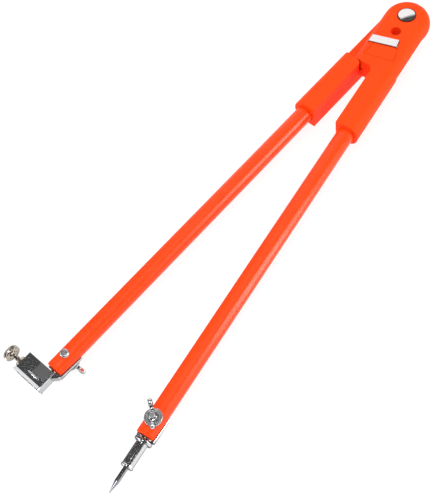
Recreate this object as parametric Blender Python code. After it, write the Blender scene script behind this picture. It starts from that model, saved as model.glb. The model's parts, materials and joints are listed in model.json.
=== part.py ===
# Carpenter's compass: two tube legs on a half-lap head, with a needle on one leg
# and a screw clamp for a pencil on the other. It lies on its back, legs towards -Y.
#
# Each leg is built in its own frame: the pivot is the origin, the leg runs along -Y,
# and "side" is +1 for the needle leg, whose outer side faces +X, and -1 for the pencil leg.
# "along" is a distance from the pivot down the leg, and "out" one to the leg's outer side.

import math

import bmesh
import bpy
from mathutils import Matrix, Vector

# Gaps
SEAT_GAP = 0.0003        # between pieces that rest on each other
RUNNING_GAP = 0.00008    # round a shaft that turns in its bore
OVERRUN = 0.002          # how far a cut runs past the faces that it opens

# Legs
OPENING_ANGLE = math.radians(9.33)
TUBE_OFFSET = 0.0104     # tube axis to the pivot's plane, so that the closed legs lie side by side
TUBE_RADIUS = 0.00785
TUBE_WALL = 0.0016
TUBE_END = 0.4446        # along the leg
PLUG_LIP = 0.0010
PLUG_DEPTH = 0.006
PLUG_WALL = 0.0012

# Head mouldings, which lap each other at half thickness
HEAD_HALF_WIDTH = 0.0218
HEAD_THICKNESS = 0.0234
EDGE_ROUNDING = 0.0088   # how far the elliptical edge reaches in from the side
LAP_GAP = 0.0010         # between the two tongues
LAP_END_GAP = 0.0009     # between a tongue's end and the other sleeve
FRONT_LAP_RADIUS = 0.0662  # a tongue's lower end is an arc round the pivot
FRONT_FILLET = 0.0066    # where that arc runs into its sleeve's inner flat
FRONT_CORNER = 0.0038    # rounded top corner of the other sleeve, which clears the fillet
BACK_LAP_RADIUS = 0.0643
BACK_FILLET = 0.0010
BACK_CORNER = 0.0014
SLEEVE_END = 0.1345      # along the leg
INNER_FLAT = 0.0005      # sleeve's inner flat to the pivot's plane
SOCKET_DEPTH = 0.056

# Pivot
RIVET_HEAD_RADIUS = 0.0078
RIVET_HEAD_RISE = 0.0009
RIVET_RIM_RISE = 0.0003
RIVET_SEAT_DEPTH = 0.0016
RIVET_SEAT_RADIUS = 0.0088
RIVET_SHANK_RADIUS = 0.0040
SPACER_RADIUS = 0.0120
HANGING_HOLE_RADIUS = 0.0049
HANGING_HOLE_ALONG = 0.0213

# Panel and plate on the front tongue
PANEL_TOP = 0.0388
PANEL_BOTTOM = 0.0553
PANEL_HALF_WIDTH = 0.0142
PANEL_TAPER = 0.0030     # each side comes in by this much towards the pivot
PANEL_TILT = math.radians(6.5)
PANEL_DEPTH = 0.0003
GROOVE_WIDTH = 0.0005    # round the panel
GROOVE_DEPTH = 0.0006
PLATE_LENGTH = 0.0256
PLATE_WIDTH = 0.0088
PLATE_THICKNESS = 0.0016
PLATE_TILT = math.radians(9.5)
PLATE_ALONG = 0.0360
PLATE_OUT = -0.0040      # to the inner side of the leg
PLATE_SINK = 0.0009      # depth of its pocket

# Bolts that carry the two holders, and their wing nuts
BOLT_FROM_END = 0.0126   # bolt to the tube's end
BOLT_RADIUS = 0.0025
BOLT_HEAD_RADIUS = 0.0039
BOLT_HEAD_HEIGHT = 0.0024
BOLT_HOLE_GAP = 0.0002
BOLT_END_PAST_NUT = 0.0008
WASHER_RADIUS = 0.0072
WASHER_THICKNESS = 0.0010
WASHER_RIM_WIDTH = 0.0011
WASHER_RIM_RISE = 0.0007
NUT_HUB_RADIUS = 0.0043
NUT_HUB_TOP_RADIUS = 0.0035
NUT_HUB_HEIGHT = 0.0042
NUT_HALF_SPAN = 0.0118
NUT_HEIGHT = 0.0108
WING_THICKNESS = 0.0034
WING_ROUNDING = 0.0009
WING_ROUNDING_SHAPE = 0.5        # a bevel's profile, where 0.5 is round
WING_LOBE_RADIUS = 0.0027
WING_LOBE_START_SHARE = -0.15   # where the lobe's arc begins, in half turns
WING_TOP_SHARES = (0.96, 0.90)  # heights of the web's top on the hub, outer and inner
WING_WAIST_SHARE = 0.25         # height of the web's underside, halfway out
NEEDLE_NUT_TURN = math.radians(130)
PENCIL_NUT_TURN = math.radians(10)

# Half-round brackets behind the tubes
SHEET = 0.0012
BRACKET_ABOVE_BOLT = 0.0080
TROUGH_DROP = 0.0015     # a bracket's right edge starts this far behind the tube's middle
TROUGH_RISE = 0.0015     # and ends this far in front of it
LEFT_EDGE_DROP = 0.0032  # its left edge stays this far behind the middle
HOLDER_DROP = 0.0030     # needle and pencil axis below the tube's axis

# Needle holder
COLLAR_RADIUS = 0.0074
COLLAR_LENGTH = 0.0030
FERRULE_RADIUS = 0.0048
FERRULE_LENGTH = 0.0215  # past the collar
FERRULE_LIP_RADIUS = 0.0052
FERRULE_LIP_LENGTH = 0.0022
NEEDLE_RADIUS = 0.0020
NEEDLE_OPEN = 0.0118     # from the ferrule to the start of the cone
NEEDLE_CONE = 0.0102
NEEDLE_TIP_RADIUS = 0.00015
NEEDLE_HELD = 0.0170     # length inside the ferrule
NEEDLE_TAPER_POWER = 1.15  # makes the cone slightly full

# Pencil clamp
CLAMP_SHEET = 0.0010
CLAMP_PAST_TUBE = 0.0037 # tube's end to the clamp's top
CLAMP_LENGTH = 0.0178
CLAMP_INNER_SIDE = 0.0078  # out from the pivot's plane
CLAMP_WIDTH = 0.0293
CLAMP_HEIGHT = 0.0100
CLAMP_CORNER = 0.0014
CLAMP_FLARE = 0.0009
CLAMP_FLARE_LENGTH = 0.0026
TAB_WIDTH = 0.0134
TAB_LENGTH = 0.0102
TAB_RISE = 0.0007
RIB_DOWN = 0.0115        # a spindle-shaped rib pressed across the front wall
RIB_ACROSS = 0.0120      # clamp's inner side to the rib's middle
RIB_HALF_LENGTH = 0.0072
RIB_RADIUS = 0.0010
JAW_PAST_BRACKET = 0.00185  # keeps a pencil against the jaw clear of the bracket
STRIP_REACH = 0.0125     # how far the bracket's strip runs on behind the clamp
STRIP_WIDTH = 0.0080
SHOULDER_REACH = 0.0050  # how far the bracket's folded shoulder runs on beside the clamp
SHOULDER_DEPTH = 0.0060
BOSS_RADIUS = 0.0045
BOSS_LENGTH = 0.0027
SCREW_RADIUS = 0.0020
SCREW_PLACE_SHARE = 0.555  # of the clamp's length, from its top
SCREW_OPEN = 0.0072      # shaft between the boss and the knob's neck
KNOB_RADIUS = 0.0070
KNOB_LENGTH = 0.0042
KNOB_RIDGES = 30
KNOB_RIDGE_DEPTH = 0.00035
KNOB_CHAMFER = 0.0006
NECK_RADIUS = 0.0036
NECK_LENGTH = 0.0014
SCREW_REACH = 0.0036     # screw inside the clamp, to the pad
PAD_RADIUS = 0.0034
PAD_THICKNESS = 0.0022
PAD_PIN_RADIUS = 0.0013
PIN_LENGTH_SHARE = 0.60   # of the pad's thickness
PAD_CUP_SHARE = 0.75

# Facets round a full circle
TUBE_FACETS = 40
FINE_FACETS = 32
SMALL_FACETS = 24
EDGE_FACETS = 7          # along a quarter of the head's rounded edge

half_thickness = HEAD_THICKNESS / 2
web_front = -(TUBE_RADIUS + SEAT_GAP)
web_back = web_front - SHEET
bolt_along = TUBE_END - BOLT_FROM_END
bracket_top = bolt_along - BRACKET_ABOVE_BOLT
wall_start = TUBE_END + PLUG_LIP + 2 * SEAT_GAP
collar_start = wall_start + SHEET + SEAT_GAP
ferrule_end = collar_start + COLLAR_LENGTH + FERRULE_LENGTH
clamp_top = TUBE_END + CLAMP_PAST_TUBE
screw_along = clamp_top + CLAMP_LENGTH * SCREW_PLACE_SHARE
jaw_out = TUBE_OFFSET - web_back + JAW_PAST_BRACKET
clamp_outer_side = CLAMP_INNER_SIDE + CLAMP_WIDTH


def clear_scene():
    for old in list(bpy.data.objects):
        bpy.data.objects.remove(old, do_unlink=True)


def make_material(name, color, roughness, metallic):
    material = bpy.data.materials.new(name)
    material.use_nodes = True
    shader = material.node_tree.nodes["Principled BSDF"]
    shader.inputs["Base Color"].default_value = (*color, 1.0)
    shader.inputs["Roughness"].default_value = roughness
    shader.inputs["Metallic"].default_value = metallic
    return material


def empty(name, parent=None, location=(0, 0, 0), rotation=(0, 0, 0)):
    holder = bpy.data.objects.new(name, None)
    holder.location = location
    holder.rotation_euler = rotation
    holder.parent = parent
    bpy.context.scene.collection.objects.link(holder)
    return holder


def piece(name, mesh_data, material, parent, location=(0, 0, 0), rotation=(0, 0, 0)):
    bmesh.ops.recalc_face_normals(mesh_data, faces=mesh_data.faces)
    mesh = bpy.data.meshes.new(name)
    mesh_data.to_mesh(mesh)
    mesh_data.free()
    mesh.materials.append(material)
    mesh.shade_smooth()
    mesh.set_sharp_from_angle(angle=math.radians(32))
    solid = bpy.data.objects.new(name, mesh)
    solid.location = location
    solid.rotation_euler = rotation
    solid.parent = parent
    bpy.context.scene.collection.objects.link(solid)
    return solid


def combine(target, mesh_data, operation):
    other = bpy.data.meshes.new(target.name + "_" + operation.lower())
    bmesh.ops.recalc_face_normals(mesh_data, faces=mesh_data.faces)
    mesh_data.to_mesh(other)
    mesh_data.free()
    tool = bpy.data.objects.new(other.name, other)
    tool.parent = target
    tool.hide_render = True
    tool.display_type = "WIRE"
    bpy.context.scene.collection.objects.link(tool)
    change = target.modifiers.new(operation.title(), "BOOLEAN")
    change.operation = operation
    change.solver = "EXACT"
    change.object = tool
    return tool


def cut(target, mesh_data):
    return combine(target, mesh_data, "DIFFERENCE")


def add(target, mesh_data):
    return combine(target, mesh_data, "UNION")


def moved(mesh_data, *transforms):
    for transform in transforms:
        bmesh.ops.transform(mesh_data, matrix=transform, verts=mesh_data.verts)
    return mesh_data


def down_the_leg():
    # Turns +Z to -Y, the way that a leg runs.
    return Matrix.Rotation(math.pi / 2, 4, "X")


def arc(center, radius, start, end, steps):
    points = []
    for step in range(steps + 1):
        angle = start + (end - start) * step / steps
        points.append((center[0] + radius * math.cos(angle), center[1] + radius * math.sin(angle)))
    return points


def turned(profile, facets):
    # A solid of revolution about Z. The profile is (radius, height) from axis to axis,
    # or a closed ring of points that all lie off the axis.
    mesh_data = bmesh.new()
    points = [mesh_data.verts.new((radius, 0, height)) for radius, height in profile]
    chain = [mesh_data.edges.new(pair) for pair in zip(points, points[1:])]
    if profile[0][0] > 0 and profile[-1][0] > 0:
        chain.append(mesh_data.edges.new((points[-1], points[0])))
    bmesh.ops.spin(mesh_data, geom=points + chain, cent=(0, 0, 0), axis=(0, 0, 1),
                   dvec=(0, 0, 0), angle=2 * math.pi, steps=facets, use_merge=True)
    bmesh.ops.remove_doubles(mesh_data, verts=mesh_data.verts, dist=RUNNING_GAP / 50)
    return mesh_data


def cylinder(radius, bottom, top, facets):
    return turned([(0, bottom), (radius, bottom), (radius, top), (0, top)], facets)


def prism(outline, bottom, top):
    mesh_data = bmesh.new()
    base = mesh_data.faces.new([mesh_data.verts.new((x, y, bottom)) for x, y in outline])
    grown = bmesh.ops.extrude_face_region(mesh_data, geom=[base], use_keep_orig=True)
    lifted = [item for item in grown["geom"] if isinstance(item, bmesh.types.BMVert)]
    bmesh.ops.translate(mesh_data, verts=lifted, vec=(0, 0, top - bottom))
    return mesh_data


def box(low, high):
    outline = [(low[0], low[1]), (high[0], low[1]), (high[0], high[1]), (low[0], high[1])]
    return prism(outline, low[2], high[2])


def ring_loft(rings, hollow):
    # Joins rings of equal length by quads. A hollow loft closes back on its first ring.
    mesh_data = bmesh.new()
    loops = [[mesh_data.verts.new(point) for point in ring] for ring in rings]
    pairs = list(zip(loops, loops[1:]))
    if hollow:
        pairs.append((loops[-1], loops[0]))
    count = len(rings[0])
    for first, second in pairs:
        for index in range(count):
            after = (index + 1) % count
            mesh_data.faces.new((first[index], first[after], second[after], second[index]))
    if not hollow:
        mesh_data.faces.new(list(reversed(loops[0])))
        mesh_data.faces.new(loops[-1])
    return mesh_data


def edge_profile():
    # Half of the head's cross-section, from the middle of the front face round the
    # elliptical edge to the middle of the back face.
    points = [(0.0, half_thickness)]
    for step in range(2 * EDGE_FACETS + 1):
        angle = math.pi / 2 - math.pi * step / (2 * EDGE_FACETS)
        radius = HEAD_HALF_WIDTH - EDGE_ROUNDING + EDGE_ROUNDING * math.cos(angle)
        points.append((radius, half_thickness * math.sin(angle)))
    points.append((0.0, -half_thickness))
    return points


def closed_head():
    # The outer form that both mouldings make when the compass is shut: a half-round top
    # on two straight sleeves.
    mesh_data = bmesh.new()
    points = [mesh_data.verts.new((radius, 0, height)) for radius, height in edge_profile()]
    chain = [mesh_data.edges.new(pair) for pair in zip(points, points[1:])]
    bmesh.ops.spin(mesh_data, geom=points + chain, cent=(0, 0, 0), axis=(0, 0, 1),
                   dvec=(0, 0, 0), angle=math.pi, steps=FINE_FACETS, use_merge=False)
    bmesh.ops.remove_doubles(mesh_data, verts=mesh_data.verts, dist=RUNNING_GAP / 50)
    rim = [edge for edge in mesh_data.edges if edge.is_boundary]
    grown = bmesh.ops.extrude_edge_only(mesh_data, edges=rim)
    lower = [item for item in grown["geom"] if isinstance(item, bmesh.types.BMVert)]
    bmesh.ops.translate(mesh_data, verts=lower, vec=(0, -SLEEVE_END, 0))
    bmesh.ops.holes_fill(mesh_data, edges=[edge for edge in mesh_data.edges if edge.is_boundary])
    return mesh_data


def tongue_waste(radius, fillet):
    # What is cut away beside the sleeve, below the tongue: everything on the inner side
    # of the flat and outside the lap's arc, with a fillet between the two.
    reach = HEAD_HALF_WIDTH + OVERRUN
    fillet_center_out = INNER_FLAT - fillet
    fillet_orbit = radius + fillet
    fillet_down = math.sqrt(fillet_orbit ** 2 - fillet_center_out ** 2)
    meet = math.atan2(-fillet_down, fillet_center_out)
    start = math.atan2(-math.sqrt(radius ** 2 - reach ** 2), -reach)
    outline = arc((0, 0), radius, start, meet, 14)
    turn_start = meet + math.pi
    outline += arc((fillet_center_out, -fillet_down), fillet, turn_start, 0, 6)[1:]
    outline.append((INNER_FLAT, -SLEEVE_END - OVERRUN))
    outline.append((-reach, -SLEEVE_END - OVERRUN))
    return prism(outline, -half_thickness - OVERRUN, half_thickness + OVERRUN)


def lap_waste(clear_radius):
    # The other leg's room: the back half within the arc of the other tongue.
    return cylinder(clear_radius, -half_thickness - OVERRUN, LAP_GAP / 2, 2 * TUBE_FACETS)


def behind_fillet_waste():
    # The fillet belongs to the tongue alone, so the back half behind it is cut to the flat.
    reach = HEAD_HALF_WIDTH + OVERRUN
    return box((-reach, -SLEEVE_END - OVERRUN, -half_thickness - OVERRUN), (INNER_FLAT, 0, LAP_GAP / 2))


def corner_waste(clear_radius, corner):
    # Rounds the top inner corner of the sleeve, through the back half only.
    center_out = INNER_FLAT + corner
    center_down = math.sqrt((clear_radius + corner) ** 2 - center_out ** 2)
    meet = math.atan2(center_down, -center_out)
    outline = arc((center_out, -center_down), corner, meet, math.pi, 5)
    outline.append((INNER_FLAT - OVERRUN, -center_down))
    outline.append((INNER_FLAT - OVERRUN, -clear_radius + OVERRUN))
    outline.append((outline[0][0], -clear_radius + OVERRUN))
    return prism(outline, -half_thickness - OVERRUN, LAP_GAP / 2)


def head_moulding(name, material, parent, turn, tongue, room):
    # The tongue is given as its radius and fillet, and the other tongue's room as that
    # one's radius and the corner beside it. The pencil leg's moulding is turned over.
    other_radius, corner = room
    clear_radius = other_radius + LAP_END_GAP
    head = piece(name, closed_head(), material, parent, rotation=(0, turn, 0))
    cut(head, tongue_waste(*tongue))
    cut(head, lap_waste(clear_radius))
    cut(head, behind_fillet_waste())
    cut(head, corner_waste(clear_radius, corner))
    socket_start = SLEEVE_END - SOCKET_DEPTH
    socket = cylinder(TUBE_RADIUS + RUNNING_GAP, socket_start, SLEEVE_END + OVERRUN, TUBE_FACETS)
    cut(head, moved(socket, down_the_leg(), Matrix.Translation((TUBE_OFFSET, 0, 0))))
    through = half_thickness + OVERRUN
    cut(head, cylinder(RIVET_SHANK_RADIUS + RUNNING_GAP, -through, through, FINE_FACETS))
    seat = half_thickness - RIVET_SEAT_DEPTH
    cut(head, cylinder(RIVET_SEAT_RADIUS, seat, through, TUBE_FACETS))
    hole = cylinder(HANGING_HOLE_RADIUS, -through, through, FINE_FACETS)
    cut(head, moved(hole, Matrix.Translation((0, -HANGING_HOLE_ALONG, 0))))
    return head


def plate_outline(margin):
    # A tilted strip whose inner end is cut parallel to the head's side.
    across = PLATE_WIDTH / 2 + margin
    slope = math.tan(PLATE_TILT)
    rise = across / math.cos(PLATE_TILT)
    inner = PLATE_OUT - PLATE_LENGTH / 2 - margin
    outer = PLATE_OUT + PLATE_LENGTH / 2 + margin
    lean = across * math.sin(PLATE_TILT)
    upper_out = outer - lean
    lower_out = outer + lean
    return [
        (inner, -PLATE_ALONG - rise + (inner - PLATE_OUT) * slope),
        (lower_out, -PLATE_ALONG - rise + (lower_out - PLATE_OUT) * slope),
        (upper_out, -PLATE_ALONG + rise + (upper_out - PLATE_OUT) * slope),
        (inner, -PLATE_ALONG + rise + (inner - PLATE_OUT) * slope),
    ]


def panel_outline(inset):
    low = -PANEL_BOTTOM + inset
    high = -PANEL_TOP - inset
    wide = PANEL_HALF_WIDTH - inset
    narrow = wide - PANEL_TAPER
    slope = math.tan(PANEL_TILT)
    return [(-wide, low - wide * slope), (wide, low + wide * slope), (narrow, high), (-narrow, high)]


def front_details(head):
    groove_floor = half_thickness - GROOVE_DEPTH
    cut(head, prism(panel_outline(0), groove_floor, half_thickness + OVERRUN))
    add(head, prism(panel_outline(GROOVE_WIDTH), groove_floor - OVERRUN, half_thickness - PANEL_DEPTH))
    pocket_floor = half_thickness - PLATE_SINK - SEAT_GAP
    cut(head, prism(plate_outline(SEAT_GAP), pocket_floor, half_thickness + OVERRUN))


def inlay_plate(material, parent):
    bottom = half_thickness - PLATE_SINK
    return piece("inlay_plate", prism(plate_outline(0), bottom, bottom + PLATE_THICKNESS), material, parent)


def pivot_rivet(material, parent):
    seat = half_thickness - RIVET_SEAT_DEPTH + SEAT_GAP
    rim = half_thickness + RIVET_RIM_RISE
    crown = half_thickness + RIVET_HEAD_RISE
    profile = [(0, -half_thickness + RIVET_SEAT_DEPTH - SEAT_GAP)]
    profile.append((RIVET_SHANK_RADIUS, -half_thickness + RIVET_SEAT_DEPTH - SEAT_GAP))
    profile.append((RIVET_SHANK_RADIUS, seat))
    profile.append((RIVET_HEAD_RADIUS, seat))
    profile.append((RIVET_HEAD_RADIUS, rim))
    dome_steps = 5
    for step in range(1, dome_steps + 1):
        reach = 1 - step / dome_steps
        profile.append((RIVET_HEAD_RADIUS * reach, rim + (crown - rim) * (1 - reach ** 2)))
    return piece("pivot_rivet", turned(profile, TUBE_FACETS), material, parent)


def rivet_cap(material, parent):
    inner = -(half_thickness - RIVET_SEAT_DEPTH) - SEAT_GAP * 2
    outer = -half_thickness - RIVET_RIM_RISE
    profile = [(0, outer), (RIVET_HEAD_RADIUS - RIVET_RIM_RISE, outer)]
    profile += [(RIVET_HEAD_RADIUS, outer + RIVET_RIM_RISE), (RIVET_HEAD_RADIUS, inner)]
    profile.append((0, inner))
    return piece("pivot_rivet_cap", turned(profile, TUBE_FACETS), material, parent)


def pivot_spacer(material, parent):
    bore = RIVET_SHANK_RADIUS + RUNNING_GAP
    half = LAP_GAP / 2 - SEAT_GAP / 2
    profile = [(bore, -half), (SPACER_RADIUS, -half), (SPACER_RADIUS, half), (bore, half)]
    return piece("pivot_spacer", turned(profile, FINE_FACETS), material, parent)


def leg_tube(name, material, parent, side):
    start = SLEEVE_END - SOCKET_DEPTH + SEAT_GAP
    inside = TUBE_RADIUS - TUBE_WALL
    profile = [(inside, start), (TUBE_RADIUS, start), (TUBE_RADIUS, TUBE_END), (inside, TUBE_END)]
    tube = piece(name, moved(turned(profile, TUBE_FACETS), down_the_leg()), material, parent,
                 location=(side * TUBE_OFFSET, 0, 0))
    reach = TUBE_RADIUS + OVERRUN
    hole = cylinder(BOLT_RADIUS + BOLT_HOLE_GAP, -reach, reach, SMALL_FACETS)
    cut(tube, moved(hole, Matrix.Translation((0, -bolt_along, 0))))
    return tube


def tube_plug(name, material, parent, side):
    # A push-in cap: a lip as wide as the tube, and a hollow spigot inside it.
    spigot = TUBE_RADIUS - TUBE_WALL - SEAT_GAP
    lip_start = TUBE_END + SEAT_GAP
    lip_end = lip_start + PLUG_LIP
    soft = PLUG_LIP / 3
    bore = spigot - PLUG_WALL
    profile = [(0, lip_start), (bore, lip_start), (bore, TUBE_END - PLUG_DEPTH)]
    profile += [(spigot, TUBE_END - PLUG_DEPTH), (spigot, lip_start)]
    profile += [(TUBE_RADIUS, lip_start), (TUBE_RADIUS, lip_end - soft)]
    profile += [(TUBE_RADIUS - soft, lip_end), (0, lip_end)]
    return piece(name, moved(turned(profile, TUBE_FACETS), down_the_leg()), material, parent,
                 location=(side * TUBE_OFFSET, 0, 0))


def trough():
    # A half-round shell that hugs the back of the tube, higher on its right side.
    inside = TUBE_RADIUS + SEAT_GAP
    outside = inside + SHEET
    outer_left = math.asin(LEFT_EDGE_DROP / outside) - math.pi
    inner_left = math.asin(LEFT_EDGE_DROP / inside) - math.pi
    outline = arc((0, 0), outside, outer_left, math.asin(TROUGH_RISE / outside), TUBE_FACETS // 2)
    outline += arc((0, 0), inside, math.asin(TROUGH_RISE / inside), inner_left, TUBE_FACETS // 2)
    return moved(prism(outline, bracket_top, wall_start + SHEET / 2), down_the_leg())


def edge_waste():
    # Slopes the trough's right edge, which rises towards its end.
    low_end = -bracket_top + OVERRUN
    slope = (TROUGH_RISE + TROUGH_DROP) / (wall_start - bracket_top)
    outline = [(-wall_start, TROUGH_RISE), (low_end, -TROUGH_DROP - OVERRUN * slope)]
    outline += [(low_end, TROUGH_RISE + OVERRUN), (-wall_start, TROUGH_RISE + OVERRUN)]
    reach = TUBE_RADIUS + SHEET + OVERRUN
    stand = Matrix(((0, 0, 1, 0), (1, 0, 0, 0), (0, 1, 0, 0), (0, 0, 0, 1)))
    return moved(prism(outline, -reach, reach), stand)


def bolt_hole_in_sheet(bracket):
    hole = cylinder(BOLT_RADIUS + BOLT_HOLE_GAP, web_back - OVERRUN, web_front + OVERRUN, SMALL_FACETS)
    cut(bracket, moved(hole, Matrix.Translation((0, -bolt_along, 0))))


def needle_bracket(material, parent):
    bracket = piece("needle_bracket", trough(), material, parent, location=(TUBE_OFFSET, 0, 0))
    cut(bracket, edge_waste())
    # The trough closes in an end wall, which carries the needle's collar.
    reach = TUBE_RADIUS + SEAT_GAP + SHEET / 2
    wall_rise = TROUGH_RISE - SHEET / 4
    wall_drop = LEFT_EDGE_DROP + SHEET / 4
    left = math.asin(wall_drop / reach) - math.pi
    level = math.asin((HOLDER_DROP + wall_rise) / COLLAR_RADIUS)
    left_level = math.asin((wall_drop - HOLDER_DROP) / COLLAR_RADIUS)
    outline = arc((0, 0), reach, left, math.asin(wall_rise / reach), TUBE_FACETS // 2)
    outline += arc((0, -HOLDER_DROP), COLLAR_RADIUS, level, math.pi + left_level, 12)
    add(bracket, moved(prism(outline, wall_start, wall_start + SHEET), down_the_leg()))
    bolt_hole_in_sheet(bracket)
    return bracket


def needle_collar(material, parent):
    shoulder = collar_start + COLLAR_LENGTH
    soft = COLLAR_LENGTH / 4
    lip_start = ferrule_end - FERRULE_LIP_LENGTH
    bore = NEEDLE_RADIUS + RUNNING_GAP
    profile = [(bore, collar_start), (COLLAR_RADIUS - soft, collar_start)]
    profile.append((COLLAR_RADIUS, collar_start + soft))
    profile += [(COLLAR_RADIUS, shoulder - soft), (COLLAR_RADIUS - soft, shoulder)]
    profile += [(FERRULE_RADIUS, shoulder), (FERRULE_RADIUS, lip_start)]
    lip_middle = lip_start + FERRULE_LIP_LENGTH / 2
    profile += [(FERRULE_LIP_RADIUS, lip_middle - soft / 2), (FERRULE_LIP_RADIUS, lip_middle + soft / 2)]
    profile += [(FERRULE_RADIUS, ferrule_end), (bore, ferrule_end)]
    return piece("needle_collar", moved(turned(profile, FINE_FACETS), down_the_leg()), material, parent,
                 location=(TUBE_OFFSET, 0, -HOLDER_DROP))


def needle(material, parent):
    cone_start = ferrule_end + NEEDLE_OPEN
    profile = [(0, ferrule_end - NEEDLE_HELD), (NEEDLE_RADIUS, ferrule_end - NEEDLE_HELD)]
    profile += [(NEEDLE_RADIUS, cone_start)]
    cone_steps = 3
    for step in range(1, cone_steps + 1):
        share = step / cone_steps
        radius = NEEDLE_RADIUS + (NEEDLE_TIP_RADIUS - NEEDLE_RADIUS) * share ** NEEDLE_TAPER_POWER
        profile.append((radius, cone_start + NEEDLE_CONE * share))
    profile.append((0, cone_start + NEEDLE_CONE))
    return piece("needle", moved(turned(profile, SMALL_FACETS), down_the_leg()), material, parent,
                 location=(TUBE_OFFSET, 0, -HOLDER_DROP))


def bolt(name, material, parent, side, head_seat, nut_seat):
    # The head's seat and the nut's seat are heights. The shank runs past the nut.
    facing = 1 if nut_seat > head_seat else -1
    head_base = -SEAT_GAP / 2
    length = abs(nut_seat - head_seat) + WASHER_THICKNESS + NUT_HUB_HEIGHT + 2 * SEAT_GAP + BOLT_END_PAST_NUT
    soft = BOLT_HEAD_HEIGHT / 3
    head_end = head_base - BOLT_HEAD_HEIGHT
    profile = [(0, head_end), (BOLT_HEAD_RADIUS - 2 * soft, head_end)]
    profile += [(BOLT_HEAD_RADIUS - soft / 2, head_end + soft)]
    profile += [(BOLT_HEAD_RADIUS, head_base - soft), (BOLT_HEAD_RADIUS, head_base)]
    profile += [(BOLT_RADIUS, head_base), (BOLT_RADIUS, length), (0, length)]
    mesh_data = moved(turned(profile, SMALL_FACETS), Matrix.Scale(facing, 4, (0, 0, 1)))
    return piece(name, mesh_data, material, parent,
                 location=(side * TUBE_OFFSET, -bolt_along, head_seat))


def nut_washer(name, material, axis_empty):
    # Dished, with a raised rim round the nut.
    bore = BOLT_RADIUS + BOLT_HOLE_GAP
    rim_top = WASHER_THICKNESS + WASHER_RIM_RISE
    rim_inside = WASHER_RADIUS - WASHER_RIM_WIDTH
    profile = [(bore, 0), (WASHER_RADIUS, 0), (WASHER_RADIUS, rim_top - WASHER_RIM_RISE / 2)]
    profile += [(WASHER_RADIUS - WASHER_RIM_WIDTH / 2, rim_top), (rim_inside, WASHER_THICKNESS)]
    profile.append((bore, WASHER_THICKNESS))
    return piece(name, turned(profile, FINE_FACETS), material, axis_empty)


def wing_outline():
    # One wing in the plane of its length and its height: a web from the hub to a round lobe.
    lobe = (NUT_HALF_SPAN - WING_LOBE_RADIUS, NUT_HEIGHT - WING_LOBE_RADIUS)
    inner = NUT_HUB_TOP_RADIUS - WING_THICKNESS
    foot = WASHER_RIM_RISE + SEAT_GAP
    outline = [(inner, foot), (NUT_HUB_RADIUS, foot)]
    outline += [((NUT_HUB_RADIUS + NUT_HALF_SPAN) / 2, NUT_HEIGHT * WING_WAIST_SHARE)]
    lobe_start = WING_LOBE_START_SHARE * math.pi
    outline += arc(lobe, WING_LOBE_RADIUS, lobe_start, lobe_start + math.pi, 8)
    outer_top, inner_top = (NUT_HUB_HEIGHT * share for share in WING_TOP_SHARES)
    outline += [(NUT_HUB_RADIUS + WING_THICKNESS / 2, outer_top), (inner, inner_top)]
    return outline


def rounded_wing():
    wing = prism(wing_outline(), -WING_THICKNESS / 2, WING_THICKNESS / 2)
    rims = [edge for edge in wing.edges if edge.verts[0].co.z * edge.verts[1].co.z > 0]
    bmesh.ops.bevel(wing, geom=rims, offset=WING_ROUNDING, segments=2, profile=WING_ROUNDING_SHAPE,
                    affect="EDGES", clamp_overlap=True)
    return wing


def wing_nut(name, material, axis_empty, turn):
    base = WASHER_THICKNESS + SEAT_GAP
    top = base + NUT_HUB_HEIGHT
    hub = [(0, base), (NUT_HUB_RADIUS, base), (NUT_HUB_TOP_RADIUS, top), (0, top)]
    nut = piece(name, turned(hub, SMALL_FACETS), material, axis_empty, rotation=(0, 0, turn))
    for half_turn in (0, math.pi):
        stand = Matrix.Rotation(math.pi / 2, 4, "X")
        place = Matrix.Translation((0, 0, base))
        add(nut, moved(rounded_wing(), stand, place, Matrix.Rotation(half_turn, 4, "Z")))
    bore = cylinder(BOLT_RADIUS + RUNNING_GAP, base - OVERRUN, top + OVERRUN, SMALL_FACETS)
    cut(nut, bore)
    return nut


def rounded_ring(half_width, half_height, corner, along, middle):
    points = []
    for quarter in range(4):
        sign_x = 1 if quarter in (0, 3) else -1
        sign_z = 1 if quarter in (0, 1) else -1
        center = (sign_x * (half_width - corner), sign_z * (half_height - corner))
        start = quarter * math.pi / 2
        points += arc(center, corner, start, start + math.pi / 2, 4)
    return [(middle[0] + x, -along, middle[1] + z) for x, z in points]


def clamp_rib():
    # Half sunk in the front wall, its length across the leg.
    profile = [(0, -RIB_HALF_LENGTH)]
    rib_steps = 8
    for step in range(1, rib_steps):
        angle = math.pi * step / rib_steps
        profile.append((RIB_RADIUS * math.sin(angle), -RIB_HALF_LENGTH * math.cos(angle)))
    profile.append((0, RIB_HALF_LENGTH))
    front = -HOLDER_DROP + CLAMP_HEIGHT / 2
    lay = Matrix.Rotation(math.pi / 2, 4, "Y")
    place = Matrix.Translation((-CLAMP_INNER_SIDE - RIB_ACROSS, -clamp_top - RIB_DOWN, front))
    return moved(turned(profile, SMALL_FACETS // 2), lay, place)


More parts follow.
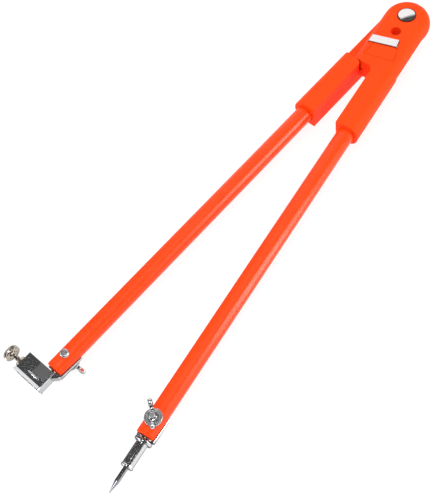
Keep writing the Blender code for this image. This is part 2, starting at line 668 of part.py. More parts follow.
def clamp_box(material, parent):
    # One strip folded into a loop that the pencil slides through, flared at its lower end.
    side_middle = -(CLAMP_INNER_SIDE + CLAMP_WIDTH / 2)
    middle = (side_middle, -HOLDER_DROP)
    end = clamp_top + CLAMP_LENGTH
    stations = [(clamp_top, 0), (end - CLAMP_FLARE_LENGTH, 0), (end, CLAMP_FLARE)]
    rings = []
    for along, flare in stations:
        rings.append(rounded_ring(CLAMP_WIDTH / 2 + flare / 3, CLAMP_HEIGHT / 2 + flare,
                                  CLAMP_CORNER, along, middle))
    inner_corner = CLAMP_CORNER - CLAMP_SHEET / 2
    for along, flare in reversed(stations):
        rings.append(rounded_ring(CLAMP_WIDTH / 2 + flare / 3 - CLAMP_SHEET,
                                  CLAMP_HEIGHT / 2 + flare - CLAMP_SHEET,
                                  inner_corner, along, middle))
    loop = piece("clamp_box", ring_loft(rings, True), material, parent)
    front = -HOLDER_DROP + CLAMP_HEIGHT / 2
    # The strip's end laps over the front wall as a raised tab.
    tab_side = -CLAMP_INNER_SIDE - CLAMP_CORNER
    tab = box((tab_side - TAB_WIDTH, -clamp_top - TAB_LENGTH, front - CLAMP_SHEET / 2),
              (tab_side, -clamp_top, front + TAB_RISE))
    add(loop, tab)
    add(loop, clamp_rib())
    jaw_reach = CLAMP_HEIGHT / 2 - CLAMP_SHEET / 2
    jaw = box((-jaw_out, -end + CLAMP_FLARE_LENGTH, -HOLDER_DROP - jaw_reach),
              (-jaw_out + CLAMP_SHEET, -clamp_top - SEAT_GAP, -HOLDER_DROP + jaw_reach))
    add(loop, jaw)
    hole = cylinder(boss_spigot_radius() + RUNNING_GAP, 0, CLAMP_SHEET + 2 * OVERRUN, SMALL_FACETS)
    lay = Matrix.Rotation(-math.pi / 2, 4, "Y")
    place = Matrix.Translation((-clamp_outer_side + CLAMP_SHEET + OVERRUN, -screw_along, -HOLDER_DROP))
    cut(loop, moved(hole, lay, place))
    return loop


def boss_spigot_radius():
    return (BOSS_RADIUS + SCREW_RADIUS) / 2


def clamp_boss(material, parent):
    # A threaded bush riveted into the clamp's outer wall.
    bore = SCREW_RADIUS + RUNNING_GAP
    spigot = boss_spigot_radius()
    face = SEAT_GAP / 2
    soft = BOSS_LENGTH / 8
    profile = [(bore, -CLAMP_SHEET), (spigot, -CLAMP_SHEET), (spigot, face), (BOSS_RADIUS, face)]
    profile += [(BOSS_RADIUS, BOSS_LENGTH - soft), (BOSS_RADIUS - soft, BOSS_LENGTH), (bore, BOSS_LENGTH)]
    return piece("clamp_boss", turned(profile, FINE_FACETS), material, parent,
                 location=(-clamp_outer_side, -screw_along, -HOLDER_DROP), rotation=(0, -math.pi / 2, 0))


def ridged_ring(radius, depth, height):
    points = []
    count = 2 * KNOB_RIDGES
    for index in range(count):
        reach = radius - (depth if index % 2 else 0)
        angle = 2 * math.pi * index / count
        points.append((reach * math.cos(angle), reach * math.sin(angle), height))
    return points


def thumbscrew(material, axis_empty):
    neck_start = BOSS_LENGTH + SCREW_OPEN
    knob_start = neck_start + NECK_LENGTH
    knob_end = knob_start + KNOB_LENGTH
    tip = -(CLAMP_SHEET + SCREW_REACH)
    pin_tip = tip - PAD_THICKNESS * PIN_LENGTH_SHARE
    profile = [(0, pin_tip), (PAD_PIN_RADIUS, pin_tip), (PAD_PIN_RADIUS, tip), (SCREW_RADIUS, tip)]
    profile += [(SCREW_RADIUS, neck_start), (NECK_RADIUS, neck_start)]
    profile += [(NECK_RADIUS, knob_start + KNOB_CHAMFER), (0, knob_start + KNOB_CHAMFER)]
    screw = piece("thumbscrew", turned(profile, SMALL_FACETS), material, axis_empty)
    rings = [ridged_ring(KNOB_RADIUS - KNOB_CHAMFER, 0, knob_start)]
    rings.append(ridged_ring(KNOB_RADIUS, KNOB_RIDGE_DEPTH, knob_start + KNOB_CHAMFER))
    rings.append(ridged_ring(KNOB_RADIUS, KNOB_RIDGE_DEPTH, knob_end - KNOB_CHAMFER))
    rings.append(ridged_ring(KNOB_RADIUS - KNOB_CHAMFER, 0, knob_end))
    add(screw, ring_loft(rings, False))
    return screw


def clamp_pad(material, axis_empty):
    # A foot that stays still on the pencil while the screw turns in its cup.
    face = -(CLAMP_SHEET + SCREW_REACH) - SEAT_GAP
    floor = face - PAD_THICKNESS
    cup = face - PAD_THICKNESS * PAD_CUP_SHARE
    pin_room = PAD_PIN_RADIUS + RUNNING_GAP
    soft = PAD_THICKNESS / 5
    profile = [(0, floor), (PAD_RADIUS - soft, floor), (PAD_RADIUS, floor + soft), (PAD_RADIUS, face)]
    profile += [(pin_room, face), (pin_room, cup), (0, cup)]
    return piece("clamp_pad", turned(profile, SMALL_FACETS), material, axis_empty)


def shoulder_outline():
    # The folded shoulder, seen from the front, in the frame of the bracket. It runs from
    # the trough's inner edge to the inner side of the clamp.
    far = TUBE_OFFSET - CLAMP_INNER_SIDE + SEAT_GAP
    edge = TUBE_RADIUS + SEAT_GAP
    bottom = -clamp_top - SHOULDER_REACH
    return [
        (far, -wall_start),
        (edge, -wall_start),
        (edge, -wall_start - SHEET),
        (edge - SHEET, -clamp_top - SHEET),
        (far + SHEET, bottom + SHEET),
        (far, bottom),
    ]


def pencil_bracket(material, parent):
    bracket = piece("pencil_bracket", trough(), material, parent, location=(-TUBE_OFFSET, 0, 0))
    cut(bracket, edge_waste())
    # A strip of it runs on behind the clamp, to which it is welded.
    inner = TUBE_OFFSET - CLAMP_INNER_SIDE - SHEET
    skin = SHEET / 8
    strip = box((-STRIP_WIDTH + inner, -clamp_top - STRIP_REACH, web_back + skin),
                (inner, -wall_start - SHEET / 4, web_front - skin))
    add(bracket, strip)
    shoulder_top = TROUGH_RISE - SHEET / 4
    add(bracket, prism(shoulder_outline(), shoulder_top - SHOULDER_DEPTH, shoulder_top))
    bolt_hole_in_sheet(bracket)
    return bracket


def lowest_and_middle():
    graph = bpy.context.evaluated_depsgraph_get()
    low = Vector((math.inf, math.inf, math.inf))
    high = Vector((-math.inf, -math.inf, -math.inf))
    for solid in bpy.data.objects:
        if solid.type != "MESH" or solid.hide_render:
            continue
        evaluated = solid.evaluated_get(graph)
        for vertex in evaluated.data.vertices:
            point = evaluated.matrix_world @ vertex.co
            low = Vector(map(min, low, point))
            high = Vector(map(max, high, point))
    return low, high


def build():
    clear_scene()
    orange = make_material("orange_plastic", (1.0, 0.075, 0.012), 0.38, 0.0)
    orange_tube = make_material("orange_tube", (1.0, 0.07, 0.01), 0.32, 0.0)
    steel = make_material("bright_steel", (0.78, 0.78, 0.8), 0.18, 1.0)
    chrome = make_material("chromed_sheet", (0.7, 0.7, 0.72), 0.08, 1.0)
    nickel = make_material("nickel_plate", (0.66, 0.62, 0.58), 0.25, 1.0)
    dark_steel = make_material("needle_steel", (0.35, 0.35, 0.37), 0.2, 1.0)
    zinc = make_material("zinc_plate", (0.6, 0.6, 0.62), 0.3, 1.0)

    frame = empty("compass_frame")
    needle_leg = empty("needle_leg_frame", frame, rotation=(0, 0, OPENING_ANGLE / 2))
    pencil_leg = empty("pencil_leg_hinge", frame, rotation=(0, 0, -OPENING_ANGLE / 2))

    front_head = head_moulding("needle_leg_head", orange, needle_leg, 0,
                               (FRONT_LAP_RADIUS, FRONT_FILLET), (BACK_LAP_RADIUS, BACK_CORNER))
    front_details(front_head)
    head_moulding("pencil_leg_head", orange, pencil_leg, math.pi,
                  (BACK_LAP_RADIUS, BACK_FILLET), (FRONT_LAP_RADIUS, FRONT_CORNER))
    inlay_plate(steel, needle_leg)
    pivot_rivet(steel, needle_leg)
    rivet_cap(steel, needle_leg)
    pivot_spacer(zinc, needle_leg)

    leg_tube("needle_leg_tube", orange_tube, needle_leg, 1)
    leg_tube("pencil_leg_tube", orange_tube, pencil_leg, -1)
    tube_plug("needle_leg_plug", orange, needle_leg, 1)
    tube_plug("pencil_leg_plug", orange, pencil_leg, -1)

    needle_bracket(chrome, needle_leg)
    needle_collar(chrome, needle_leg)
    needle(dark_steel, needle_leg)
    pencil_bracket(chrome, pencil_leg)
    clamp_box(chrome, pencil_leg)
    clamp_boss(nickel, pencil_leg)

    # The needle's nut is on the front of its leg, and the pencil's on the back.
    crown = TUBE_RADIUS + SEAT_GAP / 2
    back = web_back - SEAT_GAP / 2
    bolt("needle_bolt", zinc, needle_leg, 1, web_back, crown)
    bolt("pencil_bolt", zinc, pencil_leg, -1, TUBE_RADIUS, back)
    needle_nut_axis = empty("needle_nut_axis", needle_leg, (TUBE_OFFSET, -bolt_along, crown))
    nut_washer("needle_washer", zinc, needle_nut_axis)
    wing_nut("needle_wing_nut", chrome, needle_nut_axis, NEEDLE_NUT_TURN)
    pencil_nut_axis = empty("pencil_nut_axis", pencil_leg, (-TUBE_OFFSET, -bolt_along, back),
                            (math.pi, 0, 0))
    nut_washer("pencil_washer", zinc, pencil_nut_axis)
    wing_nut("pencil_wing_nut", chrome, pencil_nut_axis, -PENCIL_NUT_TURN)

    screw_axis = empty("thumbscrew_axis", pencil_leg, (-clamp_outer_side, -screw_along, -HOLDER_DROP),
                       (0, -math.pi / 2, 0))
    thumbscrew(nickel, screw_axis)
    clamp_pad(nickel, screw_axis)

    # The origin is under the middle of the whole compass, at its lowest point.
    bpy.context.view_layer.update()
    low, high = lowest_and_middle()
    middle = (low + high) / 2
    frame.location = (-middle.x, -middle.y, -low.z)
    bpy.context.view_layer.update()


build()
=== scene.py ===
import json
import math

import bmesh
import bpy
from mathutils import Matrix, Vector


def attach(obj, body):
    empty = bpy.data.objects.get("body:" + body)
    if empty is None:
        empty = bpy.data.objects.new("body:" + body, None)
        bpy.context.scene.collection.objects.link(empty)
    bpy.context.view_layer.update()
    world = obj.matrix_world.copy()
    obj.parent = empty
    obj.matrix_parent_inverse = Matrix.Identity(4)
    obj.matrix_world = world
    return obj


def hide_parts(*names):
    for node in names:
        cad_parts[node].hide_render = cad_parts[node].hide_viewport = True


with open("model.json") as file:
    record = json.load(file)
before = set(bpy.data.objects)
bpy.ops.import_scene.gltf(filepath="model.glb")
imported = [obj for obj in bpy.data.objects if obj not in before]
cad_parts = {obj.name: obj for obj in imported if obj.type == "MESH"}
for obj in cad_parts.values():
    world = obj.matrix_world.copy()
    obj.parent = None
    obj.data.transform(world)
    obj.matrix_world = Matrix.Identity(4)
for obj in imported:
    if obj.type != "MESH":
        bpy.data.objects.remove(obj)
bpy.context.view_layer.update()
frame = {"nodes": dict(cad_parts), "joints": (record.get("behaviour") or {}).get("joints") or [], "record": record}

mm = 0.001
joints = {joint["name"]: joint for joint in frame["joints"]}
bodyOf = {node: body for body, nodes in frame["record"]["behaviour"]["bodies"].items() for node in nodes}
slotOf = {row["node"]: row["material_slot"] for row in frame["record"]["subparts"]}
pivot = Vector(joints["pivot"]["pos_m"])
halfOpening = math.radians(4.665)
tubeOffset = 10.4       # a tube's axis to the plane between the legs, in mm
onAxis = 0.01           # radius of a ring that closes a turned piece on its axis, in mm
print("frame loaded:", len(frame["nodes"]), "solids")


def toLinear(hexColor):
    # sRGB hex to linear, the way Blender wants its colours
    channels = [int(hexColor[i:i + 2], 16) / 255 for i in (1, 3, 5)]
    linear = [c / 12.92 if c <= 0.04045 else ((c + 0.055) / 1.055) ** 2.4 for c in channels]
    return (*linear, 1.0)


def addNode(tree, kind, inputs=None, **settings):
    # an input is either a plain value or the socket that feeds it
    node = tree.nodes.new(kind)
    for name, value in settings.items():
        setattr(node, name, value)
    for name, value in (inputs or {}).items():
        if isinstance(value, bpy.types.NodeSocket):
            tree.links.new(value, node.inputs[name])
        else:
            node.inputs[name].default_value = value
    return node


def perMetre(sizeInMm):
    # noise scale that gives features of about this size
    return 1.0 / (sizeInMm * mm)


def startMaterial(name, look):
    material = bpy.data.materials.new(name)
    material.use_nodes = True
    shader = material.node_tree.nodes["Principled BSDF"]
    for socket, value in look["shader"].items():
        shader.inputs[socket].default_value = value
    return material, material.node_tree, shader


def addNoise(tree, place, sizeInMm, detail):
    inputs = {"Vector": place, "Scale": perMetre(sizeInMm), "Detail": detail}
    return addNode(tree, "ShaderNodeTexNoise", inputs).outputs["Fac"]


def ramp(tree, value, span, result=(0.0, 1.0)):
    # a straight line from the span to the result, held at both ends
    inputs = {"Value": value, 1: span[0], 2: span[1], 3: result[0], 4: result[1]}
    return addNode(tree, "ShaderNodeMapRange", inputs).outputs["Result"]


def mixColors(tree, share, first, second):
    return addNode(tree, "ShaderNodeMix", {0: share, 6: first, 7: second}, data_type="RGBA").outputs[2]


def mixValues(tree, share, first, second):
    return addNode(tree, "ShaderNodeMix", {0: share, 2: first, 3: second}).outputs[0]


def addBump(tree, height, strength, heightInMm, under=None):
    inputs = {"Height": height, "Strength": strength, "Distance": heightInMm * mm}
    if under is not None:
        inputs["Normal"] = under
    return addNode(tree, "ShaderNodeBump", inputs).outputs["Normal"]


def openToLight(tree, reachInMm, span):
    # 0 deep in a corner or groove, 1 out in the open
    corner = addNode(tree, "ShaderNodeAmbientOcclusion", {"Distance": reachInMm * mm}, samples=6)
    return ramp(tree, corner.outputs["AO"], span)


# ABS, injection moulded in orange: even colour with faint cloudy flow, a semi-gloss skin
# that is very slightly uneven, and darker where a groove keeps the light out.
mouldedAbs = {
    "color": "#FF4309", "cloud": "#FF4A10", "groove": "#A81602", "cloudSize": 26.0, "cloudSpan": (0.3, 0.7),
    "skinSize": 1.1, "skinHeight": 0.010, "skinStrength": 0.35, "grooveReach": 2.2, "grooveLight": (0.18, 0.72),
    "roughness": (0.48, 0.56),
    "shader": {"Metallic": 0.0, "IOR": 1.53, "Specular IOR Level": 0.1},
}


def makeMouldedAbs():
    look = mouldedAbs
    material, tree, shader = startMaterial("mouldedOrangeAbs", look)
    place = addNode(tree, "ShaderNodeTexCoord").outputs["Object"]
    cloud = addNoise(tree, place, look["cloudSize"], detail=3.0)
    flow = mixColors(tree, cloud, toLinear(look["color"]), toLinear(look["cloud"]))
    lit = openToLight(tree, look["grooveReach"], look["grooveLight"])
    tree.links.new(mixColors(tree, lit, toLinear(look["groove"]), flow), shader.inputs["Base Color"])
    tree.links.new(ramp(tree, cloud, look["cloudSpan"], look["roughness"]), shader.inputs["Roughness"])
    skin = addNoise(tree, place, look["skinSize"], detail=4.0)
    tree.links.new(addBump(tree, skin, look["skinStrength"], look["skinHeight"]), shader.inputs["Normal"])
    return material


# Steel tube, powder coated and baked: the coat pulls into a faint orange peel and is
# a touch glossier than the moulding.
powderCoat = {
    "color": "#FF4206", "thick": "#FF4609", "patchSize": 9.0, "patchSpan": (0.3, 0.7),
    "peelSize": 1.8, "peelHeight": 0.007, "peelStrength": 0.3,
    "roughness": (0.24, 0.28),
    "shader": {"Metallic": 0.0, "IOR": 1.5, "Specular IOR Level": 0.32},
}


def makePowderCoat():
    look = powderCoat
    material, tree, shader = startMaterial("powderCoatedSteel", look)
    place = addNode(tree, "ShaderNodeTexCoord").outputs["Object"]
    patch = addNoise(tree, place, look["patchSize"], detail=2.0)
    color = mixColors(tree, patch, toLinear(look["color"]), toLinear(look["thick"]))
    tree.links.new(color, shader.inputs["Base Color"])
    tree.links.new(ramp(tree, patch, look["patchSpan"], look["roughness"]), shader.inputs["Roughness"])
    peel = addNoise(tree, place, look["peelSize"], detail=1.5)
    tree.links.new(addBump(tree, peel, look["peelStrength"], look["peelHeight"]), shader.inputs["Normal"])
    return material


# The metals share one recipe: a plated or ground surface with clouds in its gloss,
# hairline marks from polishing, small dull scuffs, painted shade that darkens the colour
# where pieces meet, and a rougher grain on the faces that carry the "grained" mark. Sizes in mm.
plated = {"Metallic": 1.0, "Specular Tint": toLinear("#4C4D51")}   # a little darker towards the outline
metals = {
    # bright chrome over pressed sheet: mirror-like, with a little haze
    "chromePlatedSheet": {
        "color": "#DADBDD", "cornerShade": "#6A6C70", "roughness": (0.05, 0.15), "cloudSize": 5.0,
        "hairSize": 0.5, "hairStretch": 14.0, "hairHeight": 0.004, "scuffSize": 0.9, "scuffFrom": 0.63,
        "shader": plated,
    },
    # nickel plate on turned steel: warmer and softer than chrome
    "nickelPlatedSteel": {
        "color": "#BFB6AC", "cornerShade": "#62574D", "roughness": (0.13, 0.24), "cloudSize": 3.0,
        "hairSize": 0.4, "hairStretch": 6.0, "hairHeight": 0.006, "scuffSize": 0.9, "scuffFrom": 0.70,
        "shader": plated,
    },
    # zinc plate on stamped washers and bolts: a dull blue-grey bloom
    "zincPlatedSteel": {
        "color": "#D3D6D8", "cornerShade": "#5E6064", "roughness": (0.36, 0.48), "cloudSize": 2.2,
        "hairSize": 0.6, "hairStretch": 2.0, "hairHeight": 0.006, "scuffSize": 1.2, "scuffFrom": 0.66,
        "shader": plated,
    },
    # stainless plate and rivet, polished by wheel: bright with fine parallel lines
    "polishedSteel": {
        "color": "#EBE6E5", "cornerShade": "#55565A", "roughness": (0.07, 0.14), "cloudSize": 6.0,
        "hairSize": 0.35, "hairStretch": 22.0, "hairHeight": 0.004, "scuffSize": 1.6, "scuffFrom": 0.70,
        "shader": plated,
    },
    # hardened needle steel, ground to a point: dark, with grinding rings
    "groundNeedleSteel": {
        "color": "#A9ABAF", "cornerShade": "#3C3D40", "roughness": (0.12, 0.22), "cloudSize": 4.0,
        "hairSize": 0.3, "hairStretch": 0.2, "hairHeight": 0.006, "scuffSize": 1.0, "scuffFrom": 0.68,
        "shader": plated,
    },
}
# scuffs are wear; cornerReach and cornerLight set the painted shade where pieces meet
metalWearAndShade = {
    "cloudSpan": (0.35, 0.68), "cornerReach": 0.9, "cornerLight": (0.2, 0.75), "hairStrength": 0.25,
    "scuffEdge": 0.04, "scuffRoughness": 0.55,
}
grain = {"size": 0.34, "height": 0.022, "roughness": 0.30}   # blasted face of the clamp's tab


def makeMetal(name):
    look = metals[name]
    material, tree, shader = startMaterial(name, look)
    place = addNode(tree, "ShaderNodeTexCoord").outputs["Object"]
    mark = addNode(tree, "ShaderNodeAttribute", attribute_name="grained", attribute_type="GEOMETRY")
    grained = mark.outputs["Fac"]
    cloud = addNoise(tree, place, look["cloudSize"], detail=3.0)
    gloss = ramp(tree, cloud, metalWearAndShade["cloudSpan"], look["roughness"])
    spots = addNoise(tree, place, look["scuffSize"], detail=2.0)
    scuff = ramp(tree, spots, (look["scuffFrom"], look["scuffFrom"] + metalWearAndShade["scuffEdge"]))
    worn = mixValues(tree, scuff, gloss, metalWearAndShade["scuffRoughness"])
    tree.links.new(mixValues(tree, grained, worn, grain["roughness"]), shader.inputs["Roughness"])
    # painted shade: the colour goes to the darker corner colour where occlusion is high, where pieces meet
    lit = openToLight(tree, metalWearAndShade["cornerReach"], metalWearAndShade["cornerLight"])
    color = mixColors(tree, lit, toLinear(look["cornerShade"]), toLinear(look["color"]))
    tree.links.new(color, shader.inputs["Base Color"])
    # hairlines run down the legs
    stretch = (1.0, 1.0 / look["hairStretch"], 1.0)
    along = addNode(tree, "ShaderNodeMapping", {"Vector": place, "Scale": stretch}).outputs["Vector"]
    hair = addNoise(tree, along, look["hairSize"], detail=2.0)
    fine = addBump(tree, hair, metalWearAndShade["hairStrength"], look["hairHeight"])
    pits = addNoise(tree, place, grain["size"], detail=1.0)
    tree.links.new(addBump(tree, pits, grained, grain["height"], fine), shader.inputs["Normal"])
    return material


finishes = {
    "moulded_orange": makeMouldedAbs(),
    "coated_tube": makePowderCoat(),
    "polished_steel": makeMetal("polishedSteel"),
    "chromed_sheet": makeMetal("chromePlatedSheet"),
    "nickel_plated_steel": makeMetal("nickelPlatedSteel"),
    "needle_steel": makeMetal("groundNeedleSteel"),
    "zinc_plated_steel": makeMetal("zincPlatedSteel"),
}
print("materials made:", len(finishes))


pieces = []


def placePiece(node, work, sharpAngle):
    # turns a finished bmesh into the piece that stands for a solid, on the solid's body
    bmesh.ops.recalc_face_normals(work, faces=work.faces)
    for face in work.faces:
        face.smooth = True
    for edge in work.edges:
        edge.smooth = len(edge.link_faces) == 2 and edge.calc_face_angle() < math.radians(sharpAngle)
    words = node.split("_")
    mesh = bpy.data.meshes.new(node)
    work.to_mesh(mesh)
    work.free()
    mesh.materials.append(finishes[slotOf[node]])
    piece = bpy.data.objects.new(words[0] + "".join(word.title() for word in words[1:]), mesh)
    bpy.context.scene.collection.objects.link(piece)
    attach(piece, bodyOf[node])
    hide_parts(node)
    pieces.append(piece)
    return piece


weld = {"distance": 0.002, "flatWithin": 0.6}     # mm and degrees


def weldedCopy(node):
    # one welded skin of the solid, with its flat areas joined into single faces
    work = bmesh.new()
    work.from_mesh(frame["nodes"][node].data)
    bmesh.ops.remove_doubles(work, verts=work.verts, dist=weld["distance"] * mm)
    bmesh.ops.dissolve_limit(work, angle_limit=math.radians(weld["flatWithin"]), verts=work.verts,
                             edges=work.edges, delimit={"NORMAL"})
    return work


def legFrame(side):
    # a leg's own frame: side is 1 on the needle leg and -1 on the pencil leg, the leg runs along -Y
    return Matrix.Translation(pivot) @ Matrix.Rotation(side * halfOpening, 4, "Z")


def legPoint(side, along, height):
    # a point on a tube's axis, along and height in mm
    return legFrame(side) @ Vector((side * tubeOffset * mm, -along * mm, height * mm))


def downLeg(side):
    return legFrame(side).to_3x3() @ Vector((0, -1, 0))


# moulded and folded pieces keep the solid's form; width of the softened edge in mm, and steps across it
softEdges = {
    "needle_leg_head": (0.45, 3), "pencil_leg_head": (0.45, 3),
    "inlay_plate": (0.5, 4), "pivot_spacer": (0.05, 1),
    "needle_leg_tube": (0.1, 1), "pencil_leg_tube": (0.1, 1),
    "clamp_box": (0.28, 3),
}
sharpFrom = 32      # degrees
# in mm; the tab's face is told by its height and by how squarely it faces the front
clampLook = {"tabHeight": 2.7, "tabWithin": 0.05, "tabFacing": 0.99, "foldAlong": 463.5, "foldWithin": 0.1}


def softenPiece(node):
    width, steps = softEdges[node]
    work = weldedCopy(node)
    if node == "clamp_box":
        markTab(work)
    piece = placePiece(node, work, sharpFrom)
    if node == "clamp_box":
        creaseFlare(piece.data)
    soft = piece.modifiers.new("softEdges", "BEVEL")
    soft.limit_method = "ANGLE"
    soft.angle_limit = math.radians(sharpFrom)
    soft.width = width * mm
    soft.segments = steps
    soft.use_clamp_overlap = True
    soft.harden_normals = True
    return piece


def markTab(work):
    # the raised tab on the clamp's front has a blasted face; its height is over the pivot's plane
    tabTop = pivot.z + clampLook["tabHeight"] * mm
    grained = work.faces.layers.float.new("grained")
    for face in work.faces:
        onTop = abs(face.calc_center_median().z - tabTop) < clampLook["tabWithin"] * mm
        face[grained] = 1.0 if face.normal.z > clampLook["tabFacing"] and onTop else 0.0


def creaseFlare(mesh):
    # the sheet is folded outwards along a crisp line, at one distance down the leg
    fold, within = clampLook["foldAlong"] * mm, clampLook["foldWithin"] * mm
    for edge in mesh.edges:
        ends = [(mesh.vertices[index].co - pivot).dot(downLeg(-1)) for index in edge.vertices]
        if all(abs(end - fold) < within for end in ends):
            edge.use_edge_sharp = True


for node in softEdges:
    softenPiece(node)
print("moulded and folded pieces softened:", len(softEdges))


def ringOf(radius, height, steps, depth=0.0, ridges=0):
    # one ring of points in mm; ridges make it wavy by depth
    points = []
    for step in range(steps):
        angle = 2 * math.pi * step / steps
        reach = radius - depth * (0.5 - 0.5 * math.cos(ridges * angle))
        points.append((reach * math.cos(angle), reach * math.sin(angle), height))
    return points


def threadRings(thread, start, end, steps):
    # a real helical thread: each point's radius follows its place in the pitch
    rings = []
    crestShare, flankShare = 0.15, 0.7
    rows = round((end - start) / thread["pitch"] * thread["rowsPerTurn"])
    for row in range(rows + 1):
        height = start + (end - start) * row / rows
        ring = []
        for step in range(steps):
            angle = 2 * math.pi * step / steps
            place = abs(2 * ((height / thread["pitch"] - step / steps) % 1.0) - 1)
            lift = min(1.0, max(0.0, (place - crestShare) / flankShare))
            reach = thread["root"] + (thread["crest"] - thread["root"]) * lift
            reach = min(reach, thread["root"] + end - height)     # the free end is chamfered
            ring.append((reach * math.cos(angle), reach * math.sin(angle), height))
        rings.append(ring)
    return rings


def skinRings(rings, closed, work=None):
    # joins rings by quads; open skins get a cap at both ends, closed ones run back to the first ring
    work = work or bmesh.new()
    loops = [[work.verts.new([value * mm for value in point]) for point in ring] for ring in rings]
    pairs = list(zip(loops, loops[1:])) + ([(loops[-1], loops[0])] if closed else [])
    for first, second in pairs:
        for step in range(len(first)):
            after = (step + 1) % len(first)
            work.faces.new((first[step], first[after], second[after], second[step]))
    if not closed:
        work.faces.new(list(reversed(loops[0])))
        work.faces.new(loops[-1])
    return work


def stand(work, origin, axis):
    # puts a piece made about Z on its own axis
    turn = Vector((0, 0, 1)).rotation_difference(Vector(axis)).to_matrix().to_4x4()
    bmesh.ops.transform(work, matrix=Matrix.Translation(origin) @ turn, verts=work.verts)
    return work


def turnedPiece(node, profile, origin, axis, steps=72, closed=False, sharpAngle=38):
    rings = [ringOf(radius, height, steps) for radius, height in profile]
    return placePiece(node, stand(skinRings(rings, closed), origin, axis), sharpAngle)


# headed rivet through both mouldings: a low dome with a rolled rim, and a rolled tail behind
rivet = {
    "shank": [(onAxis, -10.4), (4.0, -10.4), (4.0, 10.4), (7.7, 10.4), (7.8, 10.55), (7.8, 11.75), (7.74, 11.89)],
    "domeRadius": 7.6, "rim": 11.95, "crown": 12.6, "domeSteps": 14,
    "tail": [(onAxis, 10.7), (7.65, 10.7), (7.8, 10.85), (7.8, 11.6), (7.7, 11.82), (7.4, 11.95), (5.2, 12.0),
             (4.4, 11.9), (3.6, 11.5), (3.0, 11.2), (onAxis, 11.15)],
    "steps": 96,
}


def makeRivet():
    profile = list(rivet["shank"])
    for step in range(rivet["domeSteps"]):
        reach = 1 - step / rivet["domeSteps"]
        height = rivet["rim"] + (rivet["crown"] - rivet["rim"]) * (1 - reach ** 2)
        profile.append((rivet["domeRadius"] * reach, height))
    profile.append((onAxis, rivet["crown"]))
    turnedPiece("pivot_rivet", profile, pivot, (0, 0, 1), rivet["steps"])
    turnedPiece("pivot_rivet_cap", rivet["tail"], pivot, (0, 0, -1), rivet["steps"])


makeRivet()

# carriage-style bolts with a flat-topped round head and a rolled thread at the nut's end
boltLook = {
    "head": [(onAxis, -2.55), (2.2, -2.54), (2.6, -2.48), (2.95, -2.32), (3.25, -2.05), (3.52, -1.66),
             (3.74, -1.18), (3.86, -0.7), (3.9, -0.3), (3.86, -0.15), (2.5, -0.15)],
    "shank": 2.5, "shankEnd": 12.2, "threadFrom": 12.5, "along": 432, "steps": 56,
    "thread": {"pitch": 0.8, "crest": 2.48, "root": 2.02, "rowsPerTurn": 8},
}


def makeBolt(node, side, seat, facing, length):
    look, steps = boltLook, boltLook["steps"]
    rings = [ringOf(radius, height, steps) for radius, height in look["head"]]
    rings.append(ringOf(look["shank"], look["shankEnd"], steps))
    rings += threadRings(look["thread"], look["threadFrom"], length, steps)
    work = skinRings(rings, closed=False)
    stand(work, legPoint(side, look["along"], seat), (0, 0, facing))
    placePiece(node, work, sharpAngle=50)


# the head's seat is a height over the tube's axis, in mm
bolts = {
    "needle_bolt": {"side": 1, "seat": -9.5, "facing": 1, "length": 24.1},
    "pencil_bolt": {"side": -1, "seat": 7.85, "facing": -1, "length": 23.95},
}
for node, bolt in bolts.items():
    makeBolt(node, **bolt)

# stamped washers: dished, with a rolled rim round the nut
washerProfile = [(2.7, 0.0), (7.05, 0.0), (7.2, 0.15), (7.2, 1.28), (7.12, 1.5), (6.92, 1.66), (6.66, 1.7),
                 (6.42, 1.6), (6.22, 1.32), (5.95, 1.08), (5.5, 0.98), (3.2, 1.0), (2.75, 0.98), (2.7, 0.9)]
for node, joint in (("needle_washer", "needle_washer_slide"), ("pencil_washer", "pencil_washer_slide")):
    turnedPiece(node, washerProfile, joints[joint]["pos_m"], joints[joint]["axis"], closed=True)

# wing nuts, cast and chromed: the solid's form with every corner melted by the casting
castNut = {"voxel": 0.24, "smoothing": 0.5, "passes": 10}


def makeWingNut(node):
    piece = placePiece(node, weldedCopy(node), sharpAngle=180)
    melt = piece.modifiers.new("castSkin", "REMESH")
    melt.mode = "VOXEL"
    melt.voxel_size = castNut["voxel"] * mm
    melt.use_smooth_shade = True
    relax = piece.modifiers.new("castSmoothing", "SMOOTH")
    relax.factor = castNut["smoothing"]
    relax.iterations = castNut["passes"]


makeWingNut("needle_wing_nut")
makeWingNut("pencil_wing_nut")
print("rivet, bolts, washers and wing nuts made")

# turned collar with a ferrule that carries fine rings, and the ground needle in it
ferrule = {
    "collarStart": 447.7, "drop": 3.0,
    "collar": [(2.08, 0.0), (6.5, 0.0), (6.95, 0.12), (7.28, 0.42), (7.4, 0.85), (7.4, 2.15), (7.28, 2.58),
               (6.95, 2.88), (6.5, 3.0), (5.3, 3.0), (4.95, 3.12), (4.8, 3.5)],
    "ringsFrom": 4.3, "ringsTo": 21.6, "ringPitch": 1.5, "ringDepth": 0.045, "rowsPerRing": 6,
    "lip": [(4.8, 22.2), (4.86, 22.5), (5.08, 22.85), (5.2, 23.2), (5.2, 23.6), (5.08, 23.95), (4.86, 24.3),
            (4.5, 24.5), (2.4, 24.5), (2.08, 24.3)],
}


def makeFerrule():
    profile = list(ferrule["collar"])
    length = ferrule["ringsTo"] - ferrule["ringsFrom"]
    rows = round(length / ferrule["ringPitch"]) * ferrule["rowsPerRing"]
    for row in range(rows + 1):
        wave = 0.5 - 0.5 * math.cos(2 * math.pi * row / ferrule["rowsPerRing"])
        profile.append((4.8 - ferrule["ringDepth"] * wave, ferrule["ringsFrom"] + length * row / rows))
    profile += ferrule["lip"]
    turnedPiece("needle_collar", profile, legPoint(1, ferrule["collarStart"], -ferrule["drop"]), downLeg(1),
                closed=True, sharpAngle=60)


makeFerrule()

needlePoint = {
    "radius": 2.0, "coneRadius": 1.98, "tipRadius": 0.13, "fullness": 1.15, "coneSteps": 10, "steps": 64,
    "held": 17.0, "shoulder": 11.5, "open": 11.8, "cone": 10.2, "start": 472.2,
}


